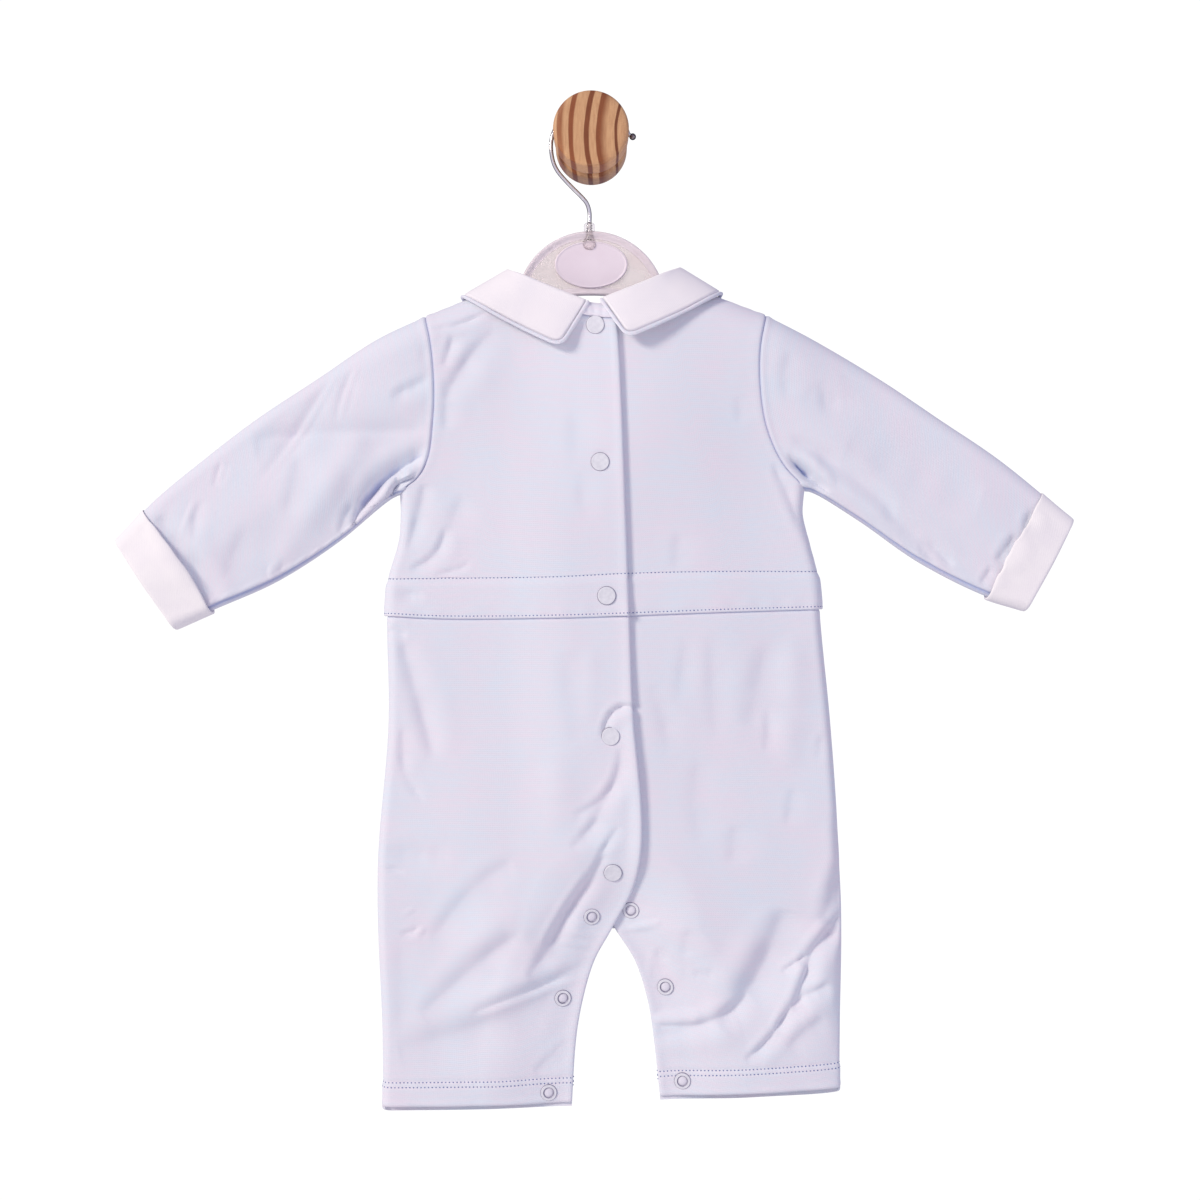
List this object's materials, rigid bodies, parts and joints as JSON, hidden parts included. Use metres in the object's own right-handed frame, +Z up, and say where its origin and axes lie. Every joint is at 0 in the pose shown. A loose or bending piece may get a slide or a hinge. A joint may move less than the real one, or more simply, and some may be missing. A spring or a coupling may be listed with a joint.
{
  "type": "baby romper on a hanger and wall peg",
  "caption": "Long-sleeved, long-legged baby romper with a two-piece collar, back placket and snap inside legs, hung back outwards on a clear hanger from a wooden wall peg.",
  "frame": {"origin": "centre of the peg's flat back face, where it meets the wall", "axes": "+Y into the wall, +Z up, the romper's back and the peg's end towards -Y"},
  "size_m": [0.5429, 0.042, 0.5684],
  "materials": {
    "romper_cloth": "soft matt cotton interlock, pale blue",
    "waistband_cloth": "soft matt cotton interlock cut double, pale blue",
    "collar_cloth": "fine matt cotton, white",
    "cuff_cloth": "fine ribbed cotton, white",
    "piping_cloth": "narrow cotton piping, pale blue",
    "neckband_cloth": "cotton binding, pale blue",
    "snap_enamel": "satin enamel, pale blue",
    "hanger_plastic": "clear, slightly frosted",
    "label_plate": "frosted, blank",
    "hook_wire": "polished",
    "peg_wood": "plain pine with a clear satin varnish"
  },
  "bodies": {
    "root": {"back_bodice_left": "romper_cloth", "back_bodice_right": "romper_cloth", "front_bodice": "romper_cloth", "back_leg_left": "romper_cloth", "back_leg_right": "romper_cloth", "front_legs": "romper_cloth", "sleeve_left": "romper_cloth", "sleeve_right": "romper_cloth", "waistband_back_left": "waistband_cloth", "waistband_back_right": "waistband_cloth", "waistband_front": "waistband_cloth", "collar_left": "collar_cloth", "collar_right": "collar_cloth", "cuff_left": "cuff_cloth", "cuff_right": "cuff_cloth", "piping_left": "piping_cloth", "piping_right": "piping_cloth", "neckband": "neckband_cloth", "snap_cap_1": "snap_enamel", "snap_cap_2": "snap_enamel", "snap_cap_3": "snap_enamel", "snap_cap_4": "snap_enamel", "snap_cap_5": "snap_enamel", "snap_stud_1": "snap_enamel", "snap_stud_2": "snap_enamel", "snap_stud_4": "snap_enamel", "snap_stud_5": "snap_enamel", "snap_ring_left_1": "snap_enamel", "snap_front_left_1": "snap_enamel", "snap_ring_right_1": "snap_enamel", "snap_front_right_1": "snap_enamel", "snap_ring_left_2": "snap_enamel", "snap_front_left_2": "snap_enamel", "snap_ring_right_2": "snap_enamel", "snap_front_right_2": "snap_enamel", "snap_ring_left_3": "snap_enamel", "snap_front_left_3": "snap_enamel", "snap_ring_right_3": "snap_enamel", "snap_front_right_3": "snap_enamel", "hanger": "hanger_plastic", "hanger_label": "label_plate", "hook": "hook_wire", "peg": "peg_wood"}
  },
  "joints": []
}
